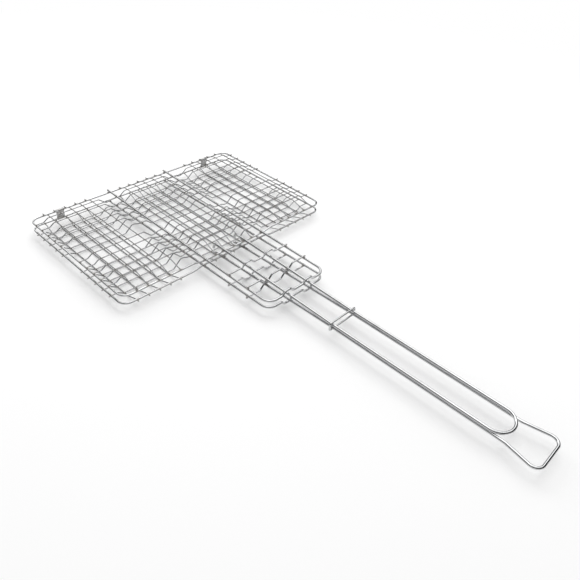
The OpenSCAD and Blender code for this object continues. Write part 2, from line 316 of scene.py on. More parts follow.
class Board:
    """A node tree being filled in."""

    def __init__(self, tree):
        self.tree = tree
        tree.nodes.clear()

    def add(self, kind, settings=None, values=None):
        """Makes one node: its type, its settings first, then its values and links."""
        node = self.tree.nodes.new(kind)
        for name, setting in (settings or {}).items():
            setattr(node, name, setting)
        for key, value in (values or {}).items():
            target = find(node.inputs, key)
            if isinstance(value, Socket):
                self.tree.links.new(value.socket, target)
            else:
                target.default_value = value
        return Made(self, node)


def find(sockets, key):
    """The socket with this number, or the one in use with this name."""
    if isinstance(key, int):
        return sockets[key]
    return next(socket for socket in sockets if socket.name == key and socket.enabled)


def vector_math(board, operation, values, output="Vector"):
    """The result of a calculation with vectors."""
    return board.add("ShaderNodeVectorMath", {"operation": operation}, values)[output]


def point_value(board, name):
    """The number kept at each point under a name."""
    return board.add("GeometryNodeInputNamedAttribute", {"data_type": "FLOAT"}, {"Name": name})["Attribute"]


def noise(board, vector, scale, detail=2.0, roughness=0.5):
    """A noise value from 0 to 1."""
    return board.add("ShaderNodeTexNoise", values={
        "Vector": vector, "Scale": scale, "Detail": detail, "Roughness": roughness,
    })["Fac"]


def ramp(board, value, low, high, start=0.0, end=1.0, shape="SMOOTHSTEP"):
    """A step of a value from one level to another, soft unless its shape says otherwise."""
    return board.add("ShaderNodeMapRange", {"interpolation_type": shape}, {
        "Value": value, "From Min": low, "From Max": high, "To Min": start, "To Max": end,
    })["Result"]


def new_group(name, inputs):
    """An empty geometry tree with a geometry in and out and the named inputs of each kind."""
    tree = bpy.data.node_groups.new(name, "GeometryNodeTree")
    tree.interface.new_socket("Geometry", in_out="OUTPUT", socket_type="NodeSocketGeometry")
    for title, kind in {"Geometry": "Geometry", **inputs}.items():
        tree.interface.new_socket(title, in_out="INPUT", socket_type="NodeSocket" + kind)
    board = Board(tree)
    return tree, board, board.add("NodeGroupInput")


def close_group(board, geometry, material):
    """Realizes what is instanced, gives it its material and ends the tree."""
    real = board.add("GeometryNodeRealizeInstances", values={"Geometry": geometry})["Geometry"]
    done = board.add("GeometryNodeSetMaterial", values={"Geometry": real, "Material": material})["Geometry"]
    board.add("NodeGroupOutput", values={"Geometry": done})


def wire_sweep():
    """Sweeps a round wire along each line, a little uneven, and marks how near each part is to a weld."""
    known = bpy.data.node_groups.get("wire_sweep")
    if known:
        return known
    tree, board, given = new_group("wire_sweep", {
        "Diameter": "Float", "Sides": "Int", "Wobble": "Float", "Still Beyond": "Float",
        "Seed": "Float", "Heat Reach": "Float", "Welds": "Object", "Wire Finish": "Material",
    })
    line = board.add("GeometryNodeMeshToCurve", values={"Mesh": given["Geometry"]})["Curve"]
    place = board.add("GeometryNodeInputPosition")["Position"]
    stray = board.add(
        "ShaderNodeTexNoise", {"noise_dimensions": "4D"},
        {"Vector": place, "W": given["Seed"], "Scale": 16.0, "Detail": 1.0},
    )["Color"]
    centred = vector_math(board, "SUBTRACT", {0: stray, 1: (0.5, 0.5, 0.5)})
    behind = board.add("ShaderNodeSeparateXYZ", values={"Vector": place})["Y"] - given["Still Beyond"]
    # The wires stop straying before the rear rail, so that the clips fit round it
    still = ramp(board, behind, low=-0.05, high=-0.012, start=2.0, end=0.0, shape="LINEAR")
    shift = vector_math(board, "SCALE", {0: centred, "Scale": given["Wobble"] * still})
    line = board.add("GeometryNodeSetPosition", values={"Geometry": line, "Offset": shift})["Geometry"]

    radius = given["Diameter"] / 2.0
    ring = board.add("GeometryNodeCurvePrimitiveCircle", {"mode": "RADIUS"}, {
        "Resolution": given["Sides"], "Radius": radius,
    })["Curve"]
    ring = board.add(
        "GeometryNodeStoreNamedAttribute", {"data_type": "FLOAT_VECTOR", "domain": "POINT"},
        {"Geometry": ring, "Name": "wire_side", "Value": vector_math(board, "NORMALIZE", {0: place})},
    )["Geometry"]
    wire = board.add("GeometryNodeCurveToMesh", values={
        "Curve": line, "Profile Curve": ring, "Scale": point_value(board, "girth"), "Fill Caps": True,
    })["Mesh"]

    marks = board.add("GeometryNodeObjectInfo", values={"Object": given["Welds"]})["Geometry"]
    near = board.add("GeometryNodeProximity", {"target_element": "POINTS"}, {"Geometry": marks})["Distance"]
    heat = ramp(board, (near - radius) / given["Heat Reach"], low=0.1, high=1.0, start=1.0, end=0.0)
    wire = board.add(
        "GeometryNodeStoreNamedAttribute", {"data_type": "FLOAT", "domain": "POINT"},
        {"Geometry": wire, "Name": "weld_heat", "Value": heat},
    )["Geometry"]
    wire = board.add("GeometryNodeSetShadeSmooth", {"domain": "FACE"}, {"Geometry": wire})["Geometry"]
    turn = board.add("GeometryNodeInputMeshEdgeAngle")["Unsigned Angle"]
    sharp = board.add("FunctionNodeCompare", {"operation": "GREATER_THAN"}, {"A": turn, "B": SHARP_CUT})
    wire = board.add("GeometryNodeSetShadeSmooth", {"domain": "EDGE"}, {
        "Geometry": wire, "Selection": sharp["Result"], "Shade Smooth": False,
    })["Geometry"]
    close_group(board, wire, given["Wire Finish"])
    return tree


def weld_beads():
    """Puts a flattened, slightly lumpy bead of metal on each mark, as large as the mark says."""
    tree, board, given = new_group("weld_beads", {
        "Flatness": "Float", "Lump": "Float", "Seed": "Int", "Bead Finish": "Material",
    })
    bead = board.add("GeometryNodeMeshIcoSphere", values={"Radius": 1.0, "Subdivisions": 3})["Mesh"]
    reach = point_value(board, "reach")
    uneven = board.add("FunctionNodeRandomValue", {"data_type": "FLOAT"}, {
        "Min": 0.85, "Max": 1.12, "Seed": given["Seed"],
    })["Value"]
    stretch = board.add("ShaderNodeCombineXYZ", values={
        "X": reach * uneven, "Y": reach * (2.0 - uneven), "Z": reach * given["Flatness"],
    })["Vector"]
    spin = board.add("FunctionNodeRandomValue", {"data_type": "FLOAT"}, {
        "Min": 0.0, "Max": math.tau, "Seed": given["Seed"] + 1.0,
    })["Value"]
    turned = board.add("ShaderNodeCombineXYZ", values={"Z": spin})["Vector"]
    beads = board.add("GeometryNodeInstanceOnPoints", values={
        "Points": given["Geometry"], "Instance": bead, "Rotation": turned, "Scale": stretch,
    })["Instances"]
    beads = board.add("GeometryNodeRealizeInstances", values={"Geometry": beads})["Geometry"]
    lump = noise(board, board.add("GeometryNodeInputPosition")["Position"], scale=900.0)
    outward = board.add("GeometryNodeInputNormal")["Normal"]
    push = vector_math(board, "SCALE", {0: outward, "Scale": (lump - 0.5) * given["Lump"]})
    beads = board.add("GeometryNodeSetPosition", values={"Geometry": beads, "Offset": push})["Geometry"]
    beads = board.add("GeometryNodeSetShadeSmooth", {"domain": "FACE"}, {"Geometry": beads})["Geometry"]
    close_group(board, beads, given["Bead Finish"])
    return tree


# Meshes and objects

def new_mesh(name, points, edges, faces, **fields):
    """A mesh with a list of numbers, one for each point, in each named field."""
    mesh = bpy.data.meshes.new(name)
    mesh.from_pydata(points, edges, faces)
    for title, values in fields.items():
        mesh.attributes.new(title, "FLOAT", "POINT").data.foreach_set("value", values)
    return mesh


def new_object(name, data):
    """An object of this data, linked to the scene."""
    made = bpy.data.objects.new(name, data)
    bpy.context.scene.collection.objects.link(made)
    return made


def discard(helper):
    """Removes a helper object and its mesh."""
    mesh = helper.data
    bpy.data.objects.remove(helper)
    bpy.data.meshes.remove(mesh)


def run_tree(source, tree, values, name):
    """Runs a geometry tree on an object, keeps its result as a plain mesh piece and removes the object."""
    modifier = source.modifiers.new(tree.name, "NODES")
    modifier.node_group = tree
    for item in tree.interface.items_tree:
        if item.in_out == "INPUT" and item.name in values:
            modifier[item.identifier] = values[item.name]
    graph = bpy.context.evaluated_depsgraph_get()
    mesh = bpy.data.meshes.new_from_object(
        source.evaluated_get(graph), preserve_all_data_layers=True, depsgraph=graph,
    )
    if not mesh.polygons:
        raise RuntimeError(f"{name} came out empty")
    mesh.name = name
    source.modifiers.remove(modifier)
    discard(source)
    return new_object(name, mesh)


# Finishes

def new_finish(name):
    """A new material, its board and the shaded place in the object's own frame."""
    material = bpy.data.materials.new(name)
    material.use_nodes = True
    board = Board(material.node_tree)
    return material, board, board.add("ShaderNodeTexCoord")["Object"]


def blend_tone(board, factor, first, second):
    """A colour between two colours."""
    return board.add("ShaderNodeMix", {"data_type": "RGBA"}, {
        "Factor": factor, "A": first, "B": second,
    })["Result"]


def metal(board, colour, roughness, height, depth):
    """Ends a material: bare metal with its colour, roughness and relief."""
    relief = board.add("ShaderNodeBump", values={"Strength": 1.0, "Distance": depth, "Height": height})
    shader = board.add("ShaderNodeBsdfPrincipled", values={
        "Base Color": colour, "Metallic": 1.0, "Roughness": roughness, "Normal": relief["Normal"],
    })["BSDF"]
    board.add("ShaderNodeOutputMaterial", values={"Surface": shader})


def chrome_wire(name, plate, gloss, look):
    """Bright plated wire: faint drawing lines, thin dull patches and a brown, dull ring at a weld."""
    known = bpy.data.materials.get(name)
    if known:
        return known
    material, board, place = new_finish(name)
    run, side, heat = (
        board.add("ShaderNodeAttribute", {"attribute_name": field})[output]
        for field, output in (("wire_run", "Fac"), ("wire_side", "Vector"), ("weld_heat", "Fac"))
    )
    section = board.add("ShaderNodeSeparateXYZ", values={"Vector": side})
    along = board.add("ShaderNodeCombineXYZ", values={
        "X": run * 45.0, "Y": section["X"] * 5.0, "Z": section["Y"] * 5.0,
    })["Vector"]
    lines = noise(board, along, scale=1.6, detail=3.0, roughness=0.65)
    patches = noise(board, place, scale=42.0, detail=4.0, roughness=0.6)
    pits = noise(board, place, scale=1400.0)
    dull = ramp(board, patches, low=0.52, high=0.74)
    burnt = heat * ramp(board, noise(board, place, scale=700.0), low=0.25, high=0.6, start=0.45)
    # plate is the plating's own colour on thick wire, and on mesh wire the plating darkened as painted shade
    colour = blend_tone(board, dull * 0.55, (*plate, 1.0), (*look.cloud, 1.0))
    colour = blend_tone(board, burnt * 0.7, colour, (*look.heat, 1.0))
    roughness = gloss + (lines - 0.5) * 0.08 + dull * 0.1 + burnt * 0.2
    metal(board, colour, roughness, height=lines * 0.8 + pits * 0.2, depth=0.000006)
    return material


def weld_metal(look):
    """Dull, pitted weld metal with darker specks of scale."""
    material, board, place = new_finish("weld_metal")
    grain = noise(board, place, scale=2600.0, detail=3.0, roughness=0.6)
    specks = ramp(board, noise(board, place, scale=900.0), low=0.5, high=0.68)
    colour = blend_tone(board, specks * 0.6, (*look.weld, 1.0), (*look.heat, 1.0))
    metal(board, colour, 0.34 + grain * 0.25, height=grain, depth=0.00008)
    return material


def clip_sheet(look):
    """Plated strip with rolling lines across the rails, duller and darker in patches."""
    material, board, place = new_finish("clip_sheet")
    rolled = vector_math(board, "MULTIPLY", {0: place, 1: (1.0, 14.0, 14.0)})
    lines = noise(board, rolled, scale=220.0, detail=3.0, roughness=0.6)
    patches = ramp(board, noise(board, place, scale=260.0, detail=3.0), low=0.42, high=0.66)
    colour = blend_tone(board, patches * 0.6, (*look.sheet, 1.0), (*look.heat, 1.0))
    metal(board, colour, 0.24 + lines * 0.14 + patches * 0.12, height=lines, depth=0.00004)
    return material


# Wires

class Plan:
    """Places and heights that several pieces share, in metres from the front rail and the parting plane."""

    def __init__(self, scene):
        self.rails = scene.basket_rails
        self.mesh = scene.basket_mesh
        self.neck = scene.basket_neck
        self.handles = scene.basket_handles
        self.ring = scene.basket_ring
        rails, mesh, neck, handles = self.rails, self.mesh, self.neck, self.handles
        low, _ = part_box("bottom_rim")
        _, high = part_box("top_rim")
        self.front = low.y + rails.wire / 2
        self.parting = (low.z + high.z) / 2
        self.side_x = rails.width / 2
        self.leg_x = neck.width / 2
        self.wire_x = handles.spread / 2
        self.outer_x = self.side_x - mesh.side_inset
        self.inner_x = self.outer_x - (mesh.count - 1) * mesh.pitch
        self.middle_pitch = self.wire_x - (handles.wire + mesh.wire) / 2
        self.on_rail = rails.height + (rails.wire + mesh.wire) / 2
        self.on_dip = rails.dip_height + (rails.wire + mesh.wire) / 2
        self.long_h = rails.height + mesh.bulge
        self.cross_h = self.long_h - mesh.wire
        self.handle_rest = handles.wire / 2 + handles.part
        self.handle_front = rails.dip_height + (rails.wire + handles.wire) / 2
        self.leg_front = rails.dip_height + (rails.wire + neck.wire) / 2
        self.leg_rear = rails.height + (rails.wire + neck.wire) / 2

    def leg_h(self, y):
        return self.leg_front + (self.leg_rear - self.leg_front) * y / self.rails.depth

    def handle_h(self, y):
        return self.handle_front + (self.handle_front - self.handle_rest) * y / self.ring.place

    def side_places(self, side):
        return [side * (self.outer_x - i * self.mesh.pitch) for i in range(self.mesh.count)]

    def middle_places(self):
        half = self.mesh.count // 2
        return [i * self.middle_pitch for i in range(-half, half + 1)]

    def front_places(self):
        return [self.mesh.front_inset + i * self.mesh.pitch for i in range(self.mesh.count)]

    def rear_places(self):
        return [self.rails.depth - self.mesh.rear_inset - i * self.mesh.pitch for i in range(self.mesh.count)]

    def seat(self, point, half):
        """A point of a half, given as across, along and up from the parting plane, in the part's frame."""
        x, y, up = point
        return Vector((x, y + self.front, self.parting + (up if half == "top" else -up)))


def mirrored(points):
    """The points, then the same ones on the other side, in turn."""
    return points + [(-x, y, z) for x, y, z in reversed(points)]


def round_bend(before, corner, after, radius):
    """Points round one bend, from where it leaves a run to where it joins the next."""
    inward = (corner - before).normalized()
    onward = (after - corner).normalized()
    angle = inward.angle(onward)
    if angle < NO_TURN or radius == 0:
        return [corner]
    start = corner - inward * radius * math.tan(angle / 2)
    side = (onward - inward * math.cos(angle)).normalized()
    count = max(LEAST_BEND, math.ceil(angle / FINEST_TURN))
    turns = [angle * i / count for i in range(count + 1)]
    return [start + inward * radius * math.sin(t) + side * radius * (1 - math.cos(t)) for t in turns]


def straight_run(start, onward, step):
    """Evenly spaced points up to where the next stretch starts, then that stretch."""
    reach = (onward[0] - start).length
    if reach < NO_LENGTH:
        return onward[1:]
    count = max(1, round(reach / step))
    return [start.lerp(onward[0], i / count) for i in range(1, count)] + onward


def bent_wire(corners, bends, step):
    """Points along a wire with straight runs between its corners and a round bend at each."""
    corners = [Vector(c) for c in corners]
    if not isinstance(bends, (list, tuple)):
        bends = [bends] * (len(corners) - 2)
    path = [corners[0]]
    for i, radius in enumerate(bends, 1):
        path += straight_run(path[-1], round_bend(*corners[i - 1:i + 2], radius), step)
    return path + straight_run(path[-1], [corners[-1]], step)


def cut_ends(path, wire):
    """The path with one more point near each end, and the girth at each point, for chamfered ends."""
    trim = wire * CHAMFER_SHARE
    first = path[0] + (path[1] - path[0]).normalized() * trim
    last = path[-1] + (path[-2] - path[-1]).normalized() * trim
    return [path[0], first, *path[1:-1], last, path[-1]], [CUT_GIRTH, *[1.0] * len(path), CUT_GIRTH]


def line_object(name, paths, wire):
    """An object of plain lines, one for each wire, with the length run and the girth at each point."""
    points, edges, runs, girths = [], [], [], []
    for order, path in enumerate(paths):
        path, girth = cut_ends(path, wire)
        first = len(points)
        run = order * RUN_SHIFT
        for i, point in enumerate(path):
            if i:
                run += (point - path[i - 1]).length
                edges.append((first + i - 1, first + i))
            points.append(point)
            runs.append(run)
        girths += girth
    return new_object(name, new_mesh(name, points, edges, [], wire_run=runs, girth=girths))


def weld_marks(half):
    """A hidden cloud of points where the wires of a half are welded, each with its bead's reach."""
    name = half + "_weld_marks"
    known = bpy.data.objects.get(name)
    if known:
        return known
    plan = Plan(bpy.context.scene)
    rails, neck = plan.rails, plan.neck
    on_rail, on_dip = rails.height + rails.wire / 2, rails.dip_height + rails.wire / 2
    left, middle, right = plan.side_places(-1), plan.middle_places(), plan.side_places(1)
    points, reaches = [], []

    def mark(bead, x, y, up):
        points.append(plan.seat((x, y, up), half))
        reaches.append(BEADS[bead])

    for y in plan.front_places() + plan.rear_places():
        for x in left + middle + right:
            mark("mesh", x, y, plan.long_h - plan.mesh.wire / 2)
        for side in (-1, 1):
            mark("edge", side * plan.side_x, y, on_rail)
            mark("edge", side * plan.leg_x, y, plan.leg_h(y) - neck.wire / 2)
    for places, on_front in ((left + right, on_rail), (middle, on_dip)):
        for x in places:
            mark("edge", x, 0, on_front)
            mark("edge", x, rails.depth, on_rail)
    for side in (-1, 1):
        mark("thick", side * plan.leg_x, 0, on_dip)
        mark("thick", side * plan.leg_x, rails.depth, on_rail)
        for y in (-neck.inner_bar, -neck.outer_bar):
            mark("bar", side * plan.leg_x, y, plan.leg_h(y) + neck.wire / 2)
        mark("handle", side * plan.wire_x, 0, on_dip)
        under_handle = plan.handle_h(-neck.outer_bar) - plan.handles.wire / 2
        mark("thick", side * plan.wire_x, -neck.outer_bar, under_handle)
    cloud = new_object(name, new_mesh(name, points, [], [], reach=reaches))
    cloud.hide_render = True
    return cloud


def match_nodes(piece, nodes):
    """Stops the script if a piece's box isn't that of the nodes it stands for."""
    boxes = [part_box(node) for node in nodes]
    for axis in range(3):
        for end, pick in ((0, min), (1, max)):
            wanted = pick(box[end][axis] for box in boxes)
            found = pick(v.co[axis] for v in piece.data.vertices)
            if abs(wanted - found) > BOX_PLAY:
                raise RuntimeError(f"{piece.name}: axis {axis} ends at {found:.5f}, not at {wanted:.5f}")


def seated(plan, half, corners, bends):
    """A bent wire of one half, in the part's frame."""
    step = bpy.context.scene.basket_finish.step
    return bent_wire([plan.seat(corner, half) for corner in corners], bends, step)


def plating(slot, look):
    """The finish of a slot's wires, and the most that they stray from their lines."""
    if slot == "mesh_wire":
        # Mesh wire gets the chrome darkened as painted shade
        return chrome_wire("shaded_chrome_mesh_wire", look.shaded_mesh_chrome, look.mesh_gloss, look), look.wobble
    return chrome_wire("chrome_wire", look.chrome, look.chrome_gloss, look), look.stiff_wobble


def add_wires(name, nodes, body, slot, paths, wire, sides, stray=1.0):
    """Sweeps the wires of one piece, which then stands for its CAD nodes."""
    plan = Plan(bpy.context.scene)
    look = bpy.context.scene.basket_finish
    finish, wobble = plating(slot, look)
    piece = run_tree(line_object(name + "_lines", paths, wire), wire_sweep(), {
        "Diameter": wire, "Sides": sides, "Wobble": wobble * stray, "Seed": look.seed,
        "Still Beyond": plan.front + plan.rails.depth, "Heat Reach": look.heat_reach,
        "Welds": weld_marks("top" if body == "top_half" else "bottom"), "Wire Finish": finish,
    }, name)
    match_nodes(piece, nodes)
    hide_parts(*nodes)
    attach(piece, body)


def add_to_halves(title, nodes, slot, wires, wire, sides):
    """Adds a piece to each half. Each of its wires is given by its corners and its bends."""
    plan = Plan(bpy.context.scene)
    for half in HALVES:
        paths = [seated(plan, half, corners, bends) for corners, bends in wires]
        add_wires(half + title, [half + node for node in nodes], half + "_half", slot, paths, wire, sides)


class AddRims(bpy.types.Operator):
    """Makes each half's rail: a rounded frame with a lowered middle in front, butt-welded there"""

    bl_idname = "grill_basket.rims"
    bl_label = "Rims"

    def execute(self, context):
        plan = Plan(context.scene)
        rails = plan.rails
        corners = mirrored([
            (0, 0, rails.dip_height),
            (-rails.dip_half, 0, rails.dip_height),
            (-rails.dip_half - rails.dip_ramp, 0, rails.height),
            (-plan.side_x, 0, rails.height),
            (-plan.side_x, rails.depth, rails.height),
        ])
        bends = [rails.dip_bend, rails.dip_bend, rails.corner, rails.corner]
        wires = [(corners, bends + bends[::-1])]
        add_to_halves("_rim_wire", ["_rim"], "rail_wire", wires, rails.wire, SIDES["rim"])
        return {"FINISHED"}


class AddNecks(bpy.types.Operator):
    """Makes each half's neck: one wire down both legs and humped over the handle wires at its end"""

    bl_idname = "grill_basket.necks"
    bl_label = "Neck frames"

    def execute(self, context):
        plan = Plan(context.scene)
        neck = plan.neck
        rear, end, level = plan.rails.depth + neck.tick, -neck.reach, plan.leg_h(-neck.reach)
        corners = mirrored([
            (-plan.leg_x, rear, plan.leg_h(rear)),
            (-plan.leg_x, end, level),
            (-plan.wire_x - neck.hump_foot, end, level),
            (-plan.wire_x - neck.hump_top, end, level + neck.hump),
            (-plan.wire_x + neck.hump_top, end, level + neck.hump),
            (-plan.wire_x + neck.hump_foot, end, level),
        ])
        bends = [neck.corner] + [neck.hump_bend] * (len(corners) - 4) + [neck.corner]
        nodes = ["_neck_frame", "_neck_legs"]
        add_to_halves("_neck_wire", nodes, "neck_wire", [(corners, bends)], neck.wire, SIDES["neck"])
        return {"FINISHED"}


class AddCrossbars(bpy.types.Operator):
    """Makes the two crossbars of each neck: one humped over the handle, one dipped under it"""

    bl_idname = "grill_basket.crossbars"
    bl_label = "Crossbars"

    def execute(self, context):
        plan = Plan(context.scene)
        neck = plan.neck
        for place, y in (("inner", -neck.inner_bar), ("outer", -neck.outer_bar)):
            level = plan.leg_h(y) + (neck.wire + neck.bar_wire) / 2
            crest = level + neck.hump
            if place == "outer":
                crest = plan.handle_h(y) - (plan.handles.wire + neck.bar_wire) / 2
            wires = [(mirrored([
                (-plan.leg_x - neck.bar_tick, y, level),
                (-plan.wire_x - neck.hump_foot, y, level),
                (-plan.wire_x - neck.hump_top, y, crest),
                (-plan.wire_x + neck.hump_top, y, crest),
                (-plan.wire_x + neck.hump_foot, y, level),
            ]), plan.mesh.bend)]
            node = "_crossbar_" + place
            add_to_halves(node + "_wire", [node], "neck_wire", wires, neck.bar_wire, SIDES["bar"])
        return {"FINISHED"}


class AddLongWires(bpy.types.Operator):
    """Makes the mesh wires that run from the front to the rear, bulged between the rails"""

    bl_idname = "grill_basket.long_wires"
    bl_label = "Long wires"

    def execute(self, context):
        plan = Plan(context.scene)
        mesh, depth = plan.mesh, plan.rails.depth
        for place, places, front_h in (
            ("left", plan.side_places(-1), plan.on_rail),
            ("middle", plan.middle_places(), plan.on_dip),
            ("right", plan.side_places(1), plan.on_rail),
        ):
            wires = [([
                (x, -mesh.tick, front_h),
                (x, mesh.ramp_start, front_h),
                (x, mesh.ramp_start + mesh.front_ramp, plan.long_h),
                (x, depth - mesh.ramp_start - mesh.rear_ramp, plan.long_h),
                (x, depth - mesh.ramp_start, plan.on_rail),
                (x, depth + mesh.tick, plan.on_rail),
            ], mesh.shoulder) for x in places]
            node = "_long_wires_" + place
            add_to_halves(node + "_swept", [node], "mesh_wire", wires, mesh.wire, SIDES["mesh"])
        return {"FINISHED"}


class AddCrossWires(bpy.types.Operator):
    """Makes the mesh wires that run across, bulged in three pockets and dipped inside the legs"""

    bl_idname = "grill_basket.cross_wires"
    bl_label = "Cross wires"

    def execute(self, context):
        plan = Plan(context.scene)
        mesh, neck = plan.mesh, plan.neck
        ridge_x = plan.inner_x - mesh.pocket_edge - mesh.ridge_ramp
        end_x = plan.side_x - mesh.end_flat
        for place, places in (("front", plan.front_places()), ("rear", plan.rear_places())):
            wires = []
            for y in places:
                dip = plan.leg_h(y) - (neck.wire + mesh.wire) / 2
                wires.append((mirrored([
                    (-plan.side_x - mesh.tick, y, plan.on_rail),
                    (-end_x, y, plan.on_rail),
                    (-end_x + mesh.end_ramp, y, plan.cross_h),
                    (-plan.inner_x + mesh.pocket_edge, y, plan.cross_h),
                    (-ridge_x, y, dip - mesh.ridge_depth),
                    (-ridge_x + mesh.ridge_flat, y, dip - mesh.ridge_depth),
                    (-plan.leg_x - mesh.leg_flat, y, dip),
                    (-plan.leg_x + mesh.leg_flat, y, dip),
                    (-plan.leg_x + mesh.leg_flat + mesh.leg_ramp, y, plan.cross_h),
                ]), mesh.bend))
            node = "_cross_wires_" + place
            add_to_halves(node + "_swept", [node], "mesh_wire", wires, mesh.wire, SIDES["mesh"])
        return {"FINISHED"}


class AddHandles(bpy.types.Operator):
    """Makes the two handles: the upper one with a round end, the lower one with a wider hanging loop"""

    bl_idname = "grill_basket.handles"
    bl_label = "Handles"

    def execute(self, context):
        plan = Plan(context.scene)
        handles, x, rest = plan.handles, plan.wire_x, plan.handle_rest
        inner, ring_y = handles.inner_reach, -plan.ring.place
        hook_y, end_y = inner - handles.hook_lean, inner - handles.end_lean
        straight = [(-x, ring_y, rest), (-x, -handles.upper_reach, rest)]
        upper = [
            (-x, inner, plan.handle_h(inner) - handles.hook_drop),
            (-x, hook_y, plan.handle_h(hook_y)),
            *straight,
        ]
        lower = [
            (-x, inner, plan.handle_h(inner) + handles.end_drop),
            (-x, end_y, plan.handle_h(end_y)),
            *straight,
            (-handles.loop_width / 2, -handles.lower_reach, rest),
        ]
        upper_bends = [handles.hook_bend, handles.level_bend, x]
        lower_bends = [handles.flare_bend, handles.level_bend, handles.flare_bend, handles.loop_corner]
        for half, corners, bends in (("top", upper, upper_bends), ("bottom", lower, lower_bends)):
            path = seated(plan, half, mirrored(corners), bends + bends[::-1])
            add_wires(
                half + "_handle_wire", [half + "_handle", half + "_handle_loop"], half + "_half",
                "handle_wire", [path], handles.wire, SIDES["handle"],
            )
        return {"FINISHED"}


class AddLockRing(bpy.types.Operator):
    """Makes the lock ring that slides along both handles, its butt joint underneath"""

    bl_idname = "grill_basket.lock_ring"
    bl_label = "Lock ring"

    def execute(self, context):
        plan = Plan(context.scene)
        ring, handles = plan.ring, plan.handles
        bar = plan.handle_rest + (handles.wire + ring.wire) / 2 + ring.play
        post = plan.wire_x + (handles.wire + ring.wire) / 2 + ring.side_play
        y = -ring.place
        corners = mirrored([(0, y, -bar), (-post, y, -bar), (-post, y, bar)])
        add_wires(
            "lock_ring_wire", ["lock_ring"], "lock_ring", "ring_wire",
            [seated(plan, "top", corners, ring.bend)], ring.wire, SIDES["ring"], stray=0.0,
        )
        return {"FINISHED"}


class AddHingeClips(bpy.types.Operator):
    """Makes the two hinge clips: a strip wrapped round both rear rails and pinched between them"""

    bl_idname = "grill_basket.hinge_clips"
    bl_label = "Hinge clips"

    def execute(self, context):
        plan = Plan(context.scene)
        clips, rails = context.scene.basket_clips, plan.rails
        finish = clip_sheet(context.scene.basket_finish)
        pinch = clips.sheet / 2
        upper = rails.wire / 2 + clips.play + pinch
        lower = rails.wire / 2 + pinch
        corners = [(pinch, 0.0)]
        bends = []
        for side, reach in ((1, upper), (-1, lower)):
            waist, far = side * (rails.height - reach), side * (rails.height + reach)
            corners += [
                (side * pinch, waist), (side * reach, waist), (side * reach, far),
                (-side * reach, far), (-side * reach, waist), (-side * pinch, waist),
            ]
            bends += [clips.pinch_bend, clips.wrap_bend, reach, reach, clips.wrap_bend, clips.pinch_bend]
        corners.append(corners[0])
        outline = bent_wire([(0, y, z) for y, z in corners], bends, CLIP_STEP)[:-1]
        for side, name in ((-1, "left"), (1, "right")):
            middle = side * (plan.outer_x - clips.pitches * plan.mesh.pitch)
            place = plan.seat((middle, rails.depth, 0), "top")
            piece = strip_object(f"hinge_clip_{name}_strip", outline, place, clips, finish)
            match_nodes(piece, [f"hinge_clip_{name}"])
            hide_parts(f"hinge_clip_{name}")
            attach(piece, "bottom_half")
        return {"FINISHED"}


def strip_object(name, outline, place, clips, finish):
    """A closed strip of sheet that follows an outline, with rounded edges."""
    half, thick, edge = clips.width / 2, clips.sheet / 2, clips.edge
    section = [
        (-half + edge, -thick), (half - edge, -thick), (half, -thick + edge), (half, thick - edge),
        (half - edge, thick), (-half + edge, thick), (-half, thick - edge), (-half, -thick + edge),
    ]
    points, faces, count, around = [], [], len(outline), len(section)
    for i, point in enumerate(outline):
        heading = (outline[(i + 1) % count] - outline[i - 1]).normalized()
        outward = Vector((0, heading.z, -heading.y))
        points += [place + point + Vector((x, 0, 0)) + outward * out for x, out in section]
        onward = (i + 1) % count * around
        faces += [
            (i * around + k, i * around + (k + 1) % around, onward + (k + 1) % around, onward + k)
            for k in range(around)
        ]
    mesh = new_mesh(name, points, [], faces)
    mesh.materials.append(finish)
    mesh.polygons.foreach_set("use_smooth", [True] * len(faces))
    mesh.set_sharp_from_angle(angle=SHARP_FOLD)
    return new_object(name, mesh)


class AddWelds(bpy.types.Operator):
    """Makes the beads of weld metal between crossing wires"""

    bl_idname = "grill_basket.welds"
    bl_label = "Welds"

    def execute(self, context):
        look = context.scene.basket_finish
        values = {
            "Flatness": look.bead_flatness, "Lump": look.bead_lump, "Seed": int(look.seed),
            "Bead Finish": weld_metal(look),
        }
        tree = weld_beads()
        for half in HALVES:
            piece = run_tree(weld_marks(half), tree, values, half + "_welds")
            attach(piece, half + "_half")
        return {"FINISHED"}


# Stage

class AddStage(bpy.types.Operator):
    """Makes the pale floor, the room, the soft lamps and the camera"""

    bl_idname = "grill_basket.stage"
    bl_label = "Stage"

    def execute(self, context):
        stage = context.scene.basket_stage
        edge = circle(stage.floor_radius, -stage.floor_drop)
        floor = set_object("floor", edge, [range(CIRCLE_STEPS)], floor_finish(stage))
        wall = circle(stage.flag_radius, stage.flag_low) + circle(stage.flag_radius, stage.flag_high)
        onward = [(i + 1) % CIRCLE_STEPS for i in range(CIRCLE_STEPS)]
        faces = [(i, i + CIRCLE_STEPS, k + CIRCLE_STEPS, k) for i, k in enumerate(onward)]
        flag = set_object("dark_cloth", wall, faces, cloth_finish(stage))
        flag.visible_camera = flag.visible_diffuse = flag.visible_shadow = False
        add_room(context.scene, stage)
        add_soft_box("soft_box_behind", stage.key_place, stage.key_size, stage.key_power)
        add_soft_box("soft_box_rear", stage.rear_place, stage.rear_size, stage.rear_power)
        add_soft_box("soft_box_overhead", stage.fill_place, stage.fill_size, stage.fill_power)
        add_camera(context.scene, stage)
        context.scene.view_settings.view_transform = "Standard"
        return {"FINISHED"}


def circle(radius, height):
    """Points round a level circle about the middle of the set."""
    turns = [math.tau * i / CIRCLE_STEPS for i in range(CIRCLE_STEPS)]
    return [(radius * math.cos(turn), radius * math.sin(turn), height) for turn in turns]


def set_object(name, points, faces, finish):
    """A piece of the set in one finish."""
    mesh = new_mesh(name, points, [], faces)
    mesh.materials.append(finish)
    return new_object(name, mesh)


